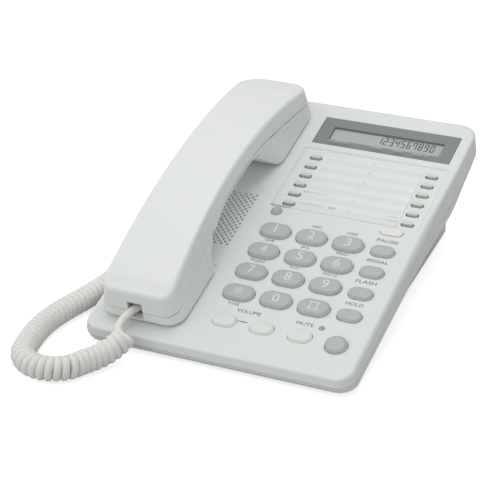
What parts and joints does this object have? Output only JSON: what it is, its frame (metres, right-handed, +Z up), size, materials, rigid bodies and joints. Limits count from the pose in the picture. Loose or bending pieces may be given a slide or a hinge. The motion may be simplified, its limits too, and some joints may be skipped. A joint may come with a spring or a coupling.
{
  "type": "corded desk telephone",
  "caption": "Corded desk telephone with a tilted base, keypad, display, index card, speed-dial buttons, handset on its cradle and a curly cord.",
  "frame": {"origin": "on the table, under the middle of the phone's bounding box without its cord", "axes": "+X to the right of someone dialling, +Y away from them up the sloping face, +Z up"},
  "size_m": [0.1848, 0.262, 0.0861],
  "materials": {
    "case_plastic": "fine satin, off-white",
    "handset_plastic": "smooth satin, off-white",
    "key_plastic": "satin, pale grey",
    "volume_plastic": "satin, off-white",
    "memory_plastic": "satin, pale warm grey",
    "bezel_plastic": "satin, mid grey",
    "display_panel": "reflective liquid crystal panel",
    "card_stock": "printed card",
    "clear_plastic": "clear sheet",
    "lens_plastic": "milky lens",
    "speaker_paper": "dark cone in a plain frame",
    "board_laminate": "green laminate",
    "membrane_rubber": "moulded silicone",
    "foot_rubber": "dull, dark grey",
    "screw_steel": "zinc plated",
    "jack_plastic": "moulded, dark grey",
    "plug_plastic": "clear moulded plastic",
    "microphone_metal": "plain can",
    "ballast_steel": "plain",
    "cord_jacket": "smooth jacket, off-white"
  },
  "bodies": {
    "base": {"upper_case": "case_plastic", "lower_case": "case_plastic", "desk_stand": "case_plastic", "rubber_feet": "foot_rubber", "case_screws": "screw_steel", "display_bezel": "bezel_plastic", "lcd_panel": "display_panel", "memory_card": "card_stock", "card_cover": "clear_plastic", "indicator_lenses": "lens_plastic", "loudspeaker": "speaker_paper", "main_board": "board_laminate", "keypad_membrane": "membrane_rubber", "line_jack": "jack_plastic", "base_handset_jack": "jack_plastic", "base_plug": "plug_plastic", "curly_cord": "cord_jacket", "base_tail": "cord_jacket"},
    "handset": {"handset_outer_shell": "handset_plastic", "handset_inner_shell": "handset_plastic", "handset_receiver": "speaker_paper", "handset_microphone": "microphone_metal", "handset_ballast": "ballast_steel", "handset_jack": "jack_plastic", "handset_plug": "plug_plastic", "handset_tail": "cord_jacket"},
    "hook": {"hook_plunger": "case_plastic"},
    "key_1": {"key_1": "key_plastic"},
    "key_2": {"key_2": "key_plastic"},
    "key_3": {"key_3": "key_plastic"},
    "key_4": {"key_4": "key_plastic"},
    "key_5": {"key_5": "key_plastic"},
    "key_6": {"key_6": "key_plastic"},
    "key_7": {"key_7": "key_plastic"},
    "key_8": {"key_8": "key_plastic"},
    "key_9": {"key_9": "key_plastic"},
    "key_star": {"key_star": "key_plastic"},
    "key_0": {"key_0": "key_plastic"},
    "key_hash": {"key_hash": "key_plastic"},
    "pause_button": {"pause_button": "key_plastic"},
    "redial_button": {"redial_button": "key_plastic"},
    "flash_button": {"flash_button": "key_plastic"},
    "hold_button": {"hold_button": "key_plastic"},
    "volume_down_button": {"volume_down_button": "volume_plastic"},
    "volume_up_button": {"volume_up_button": "volume_plastic"},
    "mute_button": {"mute_button": "volume_plastic"},
    "speaker_button": {"speaker_button": "key_plastic"},
    "program_button": {"program_button": "key_plastic"},
    "memory_button_1": {"memory_button_1": "memory_plastic"},
    "memory_button_2": {"memory_button_2": "memory_plastic"},
    "memory_button_3": {"memory_button_3": "memory_plastic"},
    "memory_button_4": {"memory_button_4": "memory_plastic"},
    "memory_button_5": {"memory_button_5": "memory_plastic"},
    "memory_button_6": {"memory_button_6": "memory_plastic"},
    "memory_button_7": {"memory_button_7": "memory_plastic"},
    "memory_button_8": {"memory_button_8": "memory_plastic"},
    "memory_button_9": {"memory_button_9": "memory_plastic"},
    "memory_button_10": {"memory_button_10": "memory_plastic"},
    "memory_button_11": {"memory_button_11": "memory_plastic"},
    "memory_button_12": {"memory_button_12": "memory_plastic"}
  },
  "joints": [
    {"name": "press_key_1", "type": "slide", "parent": "base", "child": "key_1", "axis": [0, 0.2756, -0.9613], "range_m": [0, 0.0012], "stiffness_N_per_m": 300, "springref_m": -0.0004},
    {"name": "press_key_2", "type": "slide", "parent": "base", "child": "key_2", "axis": [0, 0.2756, -0.9613], "range_m": [0, 0.0012], "stiffness_N_per_m": 300, "springref_m": -0.0004},
    {"name": "press_key_3", "type": "slide", "parent": "base", "child": "key_3", "axis": [0, 0.2756, -0.9613], "range_m": [0, 0.0012], "stiffness_N_per_m": 300, "springref_m": -0.0004},
    {"name": "press_key_4", "type": "slide", "parent": "base", "child": "key_4", "axis": [0, 0.2756, -0.9613], "range_m": [0, 0.0012], "stiffness_N_per_m": 300, "springref_m": -0.0004},
    {"name": "press_key_5", "type": "slide", "parent": "base", "child": "key_5", "axis": [0, 0.2756, -0.9613], "range_m": [0, 0.0012], "stiffness_N_per_m": 300, "springref_m": -0.0004},
    {"name": "press_key_6", "type": "slide", "parent": "base", "child": "key_6", "axis": [0, 0.2756, -0.9613], "range_m": [0, 0.0012], "stiffness_N_per_m": 300, "springref_m": -0.0004},
    {"name": "press_key_7", "type": "slide", "parent": "base", "child": "key_7", "axis": [0, 0.2756, -0.9613], "range_m": [0, 0.0012], "stiffness_N_per_m": 300, "springref_m": -0.0004},
    {"name": "press_key_8", "type": "slide", "parent": "base", "child": "key_8", "axis": [0, 0.2756, -0.9613], "range_m": [0, 0.0012], "stiffness_N_per_m": 300, "springref_m": -0.0004},
    {"name": "press_key_9", "type": "slide", "parent": "base", "child": "key_9", "axis": [0, 0.2756, -0.9613], "range_m": [0, 0.0012], "stiffness_N_per_m": 300, "springref_m": -0.0004},
    {"name": "press_key_star", "type": "slide", "parent": "base", "child": "key_star", "axis": [0, 0.2756, -0.9613], "range_m": [0, 0.0012], "stiffness_N_per_m": 300, "springref_m": -0.0004},
    {"name": "press_key_0", "type": "slide", "parent": "base", "child": "key_0", "axis": [0, 0.2756, -0.9613], "range_m": [0, 0.0012], "stiffness_N_per_m": 300, "springref_m": -0.0004},
    {"name": "press_key_hash", "type": "slide", "parent": "base", "child": "key_hash", "axis": [0, 0.2756, -0.9613], "range_m": [0, 0.0012], "stiffness_N_per_m": 300, "springref_m": -0.0004},
    {"name": "press_pause_button", "type": "slide", "parent": "base", "child": "pause_button", "axis": [0, 0.2756, -0.9613], "range_m": [0, 0.0012], "stiffness_N_per_m": 300, "springref_m": -0.0004},
    {"name": "press_redial_button", "type": "slide", "parent": "base", "child": "redial_button", "axis": [0, 0.2756, -0.9613], "range_m": [0, 0.0012], "stiffness_N_per_m": 300, "springref_m": -0.0004},
    {"name": "press_flash_button", "type": "slide", "parent": "base", "child": "flash_button", "axis": [0, 0.2756, -0.9613], "range_m": [0, 0.0012], "stiffness_N_per_m": 300, "springref_m": -0.0004},
    {"name": "press_hold_button", "type": "slide", "parent": "base", "child": "hold_button", "axis": [0, 0.2756, -0.9613], "range_m": [0, 0.0012], "stiffness_N_per_m": 300, "springref_m": -0.0004},
    {"name": "press_volume_down_button", "type": "slide", "parent": "base", "child": "volume_down_button", "axis": [0, 0.2756, -0.9613], "range_m": [0, 0.0012], "stiffness_N_per_m": 300, "springref_m": -0.0004},
    {"name": "press_volume_up_button", "type": "slide", "parent": "base", "child": "volume_up_button", "axis": [0, 0.2756, -0.9613], "range_m": [0, 0.0012], "stiffness_N_per_m": 300, "springref_m": -0.0004},
    {"name": "press_mute_button", "type": "slide", "parent": "base", "child": "mute_button", "axis": [0, 0.2756, -0.9613], "range_m": [0, 0.0012], "stiffness_N_per_m": 300, "springref_m": -0.0004},
    {"name": "press_speaker_button", "type": "slide", "parent": "base", "child": "speaker_button", "axis": [0, 0.2756, -0.9613], "range_m": [0, 0.0012], "stiffness_N_per_m": 300, "springref_m": -0.0004},
    {"name": "press_program_button", "type": "slide", "parent": "base", "child": "program_button", "axis": [0, 0.2756, -0.9613], "range_m": [0, 0.001], "stiffness_N_per_m": 300, "springref_m": -0.0004},
    {"name": "press_memory_button_1", "type": "slide", "parent": "base", "child": "memory_button_1", "axis": [0, 0.2756, -0.9613], "range_m": [0, 0.001], "stiffness_N_per_m": 300, "springref_m": -0.0004},
    {"name": "press_memory_button_2", "type": "slide", "parent": "base", "child": "memory_button_2", "axis": [0, 0.2756, -0.9613], "range_m": [0, 0.001], "stiffness_N_per_m": 300, "springref_m": -0.0004},
    {"name": "press_memory_button_3", "type": "slide", "parent": "base", "child": "memory_button_3", "axis": [0, 0.2756, -0.9613], "range_m": [0, 0.001], "stiffness_N_per_m": 300, "springref_m": -0.0004},
    {"name": "press_memory_button_4", "type": "slide", "parent": "base", "child": "memory_button_4", "axis": [0, 0.2756, -0.9613], "range_m": [0, 0.001], "stiffness_N_per_m": 300, "springref_m": -0.0004},
    {"name": "press_memory_button_5", "type": "slide", "parent": "base", "child": "memory_button_5", "axis": [0, 0.2756, -0.9613], "range_m": [0, 0.001], "stiffness_N_per_m": 300, "springref_m": -0.0004},
    {"name": "press_memory_button_6", "type": "slide", "parent": "base", "child": "memory_button_6", "axis": [0, 0.2756, -0.9613], "range_m": [0, 0.001], "stiffness_N_per_m": 300, "springref_m": -0.0004},
    {"name": "press_memory_button_7", "type": "slide", "parent": "base", "child": "memory_button_7", "axis": [0, 0.2756, -0.9613], "range_m": [0, 0.001], "stiffness_N_per_m": 300, "springref_m": -0.0004},
    {"name": "press_memory_button_8", "type": "slide", "parent": "base", "child": "memory_button_8", "axis": [0, 0.2756, -0.9613], "range_m": [0, 0.001], "stiffness_N_per_m": 300, "springref_m": -0.0004},
    {"name": "press_memory_button_9", "type": "slide", "parent": "base", "child": "memory_button_9", "axis": [0, 0.2756, -0.9613], "range_m": [0, 0.001], "stiffness_N_per_m": 300, "springref_m": -0.0004},
    {"name": "press_memory_button_10", "type": "slide", "parent": "base", "child": "memory_button_10", "axis": [0, 0.2756, -0.9613], "range_m": [0, 0.001], "stiffness_N_per_m": 300, "springref_m": -0.0004},
    {"name": "press_memory_button_11", "type": "slide", "parent": "base", "child": "memory_button_11", "axis": [0, 0.2756, -0.9613], "range_m": [0, 0.001], "stiffness_N_per_m": 300, "springref_m": -0.0004},
    {"name": "press_memory_button_12", "type": "slide", "parent": "base", "child": "memory_button_12", "axis": [0, 0.2756, -0.9613], "range_m": [0, 0.001], "stiffness_N_per_m": 300, "springref_m": -0.0004},
    {"name": "handset_lift", "type": "slide", "parent": "base", "child": "handset", "axis": [0, -0.2756, 0.9613], "range_m": [0, 0.06], "deforming": ["curly_cord"]},
    {"name": "hook_rise", "type": "slide", "parent": "base", "child": "hook", "axis": [0, -0.2756, 0.9613], "range_m": [0, 0.003]}
  ],
  "couplings": [
    {"joint": "hook_rise", "follows": "handset_lift", "ratio": 0.05}
  ]
}
